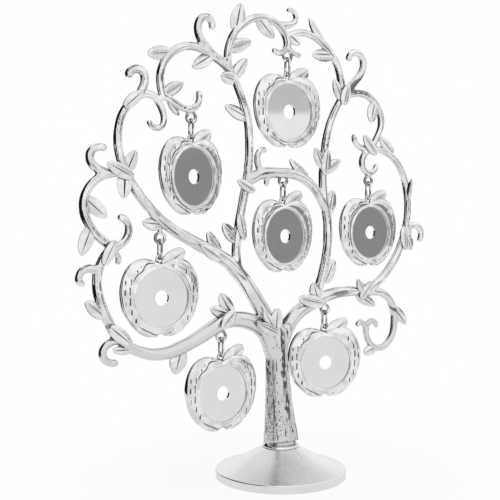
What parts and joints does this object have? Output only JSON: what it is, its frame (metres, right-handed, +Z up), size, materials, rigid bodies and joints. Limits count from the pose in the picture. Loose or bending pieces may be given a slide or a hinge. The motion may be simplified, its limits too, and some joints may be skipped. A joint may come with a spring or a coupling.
{
  "type": "photo tree stand",
  "caption": "Plated metal tree on a turned foot, with curling boughs, leaves and apple-shaped photo frames that hang from wire links.",
  "frame": {"origin": "on the trunk's axis, on the surface that the felt pad rests on", "axes": "+Z up, +X along the crown's spread to the right as seen from the front, -Y to the front"},
  "size_m": [0.2543, 0.08, 0.2865],
  "materials": {
    "crown": "polished plating",
    "leaf": "polished plating",
    "bark": "plating over a rough bark relief",
    "base": "satin, turned",
    "apple": "polished plating",
    "backing": "satin sheet",
    "wire": "bright wire",
    "fixing": "zinc plated",
    "felt": "felt"
  },
  "bodies": {
    "tree": {"trunk": "bark", "base_foot": "base", "base_felt": "felt", "screw_washer": "fixing", "trunk_screw": "fixing", "lower_left_bough": "crown", "mid_left_bough": "crown", "lower_right_bough": "crown", "left_upright": "crown", "right_upright": "crown", "cross_bough": "crown", "lower_left_tip": "crown", "outer_left_bow": "crown", "upper_left_bough": "crown", "upper_left_scroll": "crown", "left_arch": "crown", "top_left_arch": "crown", "top_right_arch": "crown", "right_arch": "crown", "right_bow": "crown", "right_bow_foot": "crown", "right_scroll": "crown", "right_scroll_end": "crown", "outer_left_tendrils": "crown", "upper_left_tendrils": "crown", "top_tendrils": "crown", "centre_tendrils": "crown", "upper_right_tendrils": "crown", "lower_right_tendrils": "crown", "hanger_eyelets": "crown", "outer_left_leaves": "leaf", "upper_left_leaves": "leaf", "top_leaves": "leaf", "centre_leaves": "leaf", "lower_left_leaves": "leaf", "upper_right_leaves": "leaf", "lower_right_leaves": "leaf"},
    "left_link": {"left_link": "wire"},
    "left_apple": {"left_apple_frame": "apple", "left_apple_disc": "backing"},
    "lower_left_link": {"lower_left_link": "wire"},
    "lower_left_apple": {"lower_left_apple_frame": "apple", "lower_left_apple_disc": "backing"},
    "upper_left_link": {"upper_left_link": "wire"},
    "upper_left_apple": {"upper_left_apple_frame": "apple", "upper_left_apple_disc": "backing"},
    "top_link": {"top_link": "wire"},
    "top_apple": {"top_apple_frame": "apple", "top_apple_disc": "backing"},
    "centre_link": {"centre_link": "wire"},
    "centre_apple": {"centre_apple_frame": "apple", "centre_apple_disc": "backing"},
    "right_link": {"right_link": "wire"},
    "right_apple": {"right_apple_frame": "apple", "right_apple_disc": "backing"},
    "lower_right_link": {"lower_right_link": "wire"},
    "lower_right_apple": {"lower_right_apple_frame": "apple", "lower_right_apple_disc": "backing"}
  },
  "joints": [
    {"name": "left_swing", "type": "hinge", "parent": "tree", "child": "left_link", "pos_m": [-0.0836, 0, 0.1449], "axis": [1, 0, 0], "range_deg": [-50, 50]},
    {"name": "left_twist", "type": "hinge", "parent": "left_link", "child": "left_apple", "pos_m": [-0.0836, 0, 0.138], "axis": [0, 0, 1], "range_deg": [-25, 25]},
    {"name": "lower_left_swing", "type": "hinge", "parent": "tree", "child": "lower_left_link", "pos_m": [-0.0432, 0, 0.0867], "axis": [1, 0, 0], "range_deg": [-50, 50]},
    {"name": "lower_left_twist", "type": "hinge", "parent": "lower_left_link", "child": "lower_left_apple", "pos_m": [-0.0432, 0, 0.0798], "axis": [0, 0, 1], "range_deg": [-27, 23]},
    {"name": "upper_left_swing", "type": "hinge", "parent": "tree", "child": "upper_left_link", "pos_m": [-0.0632, 0, 0.2131], "axis": [1, 0, 0], "range_deg": [-50, 50]},
    {"name": "upper_left_twist", "type": "hinge", "parent": "upper_left_link", "child": "upper_left_apple", "pos_m": [-0.0632, 0, 0.2062], "axis": [0, 0, 1], "range_deg": [-40, 10]},
    {"name": "top_swing", "type": "hinge", "parent": "tree", "child": "top_link", "pos_m": [0.0047, 0, 0.2541], "axis": [1, 0, 0], "range_deg": [-50, 50]},
    {"name": "top_twist", "type": "hinge", "parent": "top_link", "child": "top_apple", "pos_m": [0.0047, 0, 0.2472], "axis": [0, 0, 1], "range_deg": [-25, 25]},
    {"name": "centre_swing", "type": "hinge", "parent": "tree", "child": "centre_link", "pos_m": [0.0015, 0, 0.1784], "axis": [1, 0, 0], "range_deg": [-50, 50]},
    {"name": "centre_twist", "type": "hinge", "parent": "centre_link", "child": "centre_apple", "pos_m": [0.0015, 0, 0.1715], "axis": [0, 0, 1], "range_deg": [-33, 17]},
    {"name": "right_swing", "type": "hinge", "parent": "tree", "child": "right_link", "pos_m": [0.0702, 0, 0.1799], "axis": [1, 0, 0], "range_deg": [-50, 50]},
    {"name": "right_twist", "type": "hinge", "parent": "right_link", "child": "right_apple", "pos_m": [0.0702, 0, 0.173], "axis": [0, 0, 1], "range_deg": [-28, 22]},
    {"name": "lower_right_swing", "type": "hinge", "parent": "tree", "child": "lower_right_link", "pos_m": [0.0342, 0, 0.098], "axis": [1, 0, 0], "range_deg": [-50, 50]},
    {"name": "lower_right_twist", "type": "hinge", "parent": "lower_right_link", "child": "lower_right_apple", "pos_m": [0.0342, 0, 0.0911], "axis": [0, 0, 1], "range_deg": [-10, 40]}
  ]
}
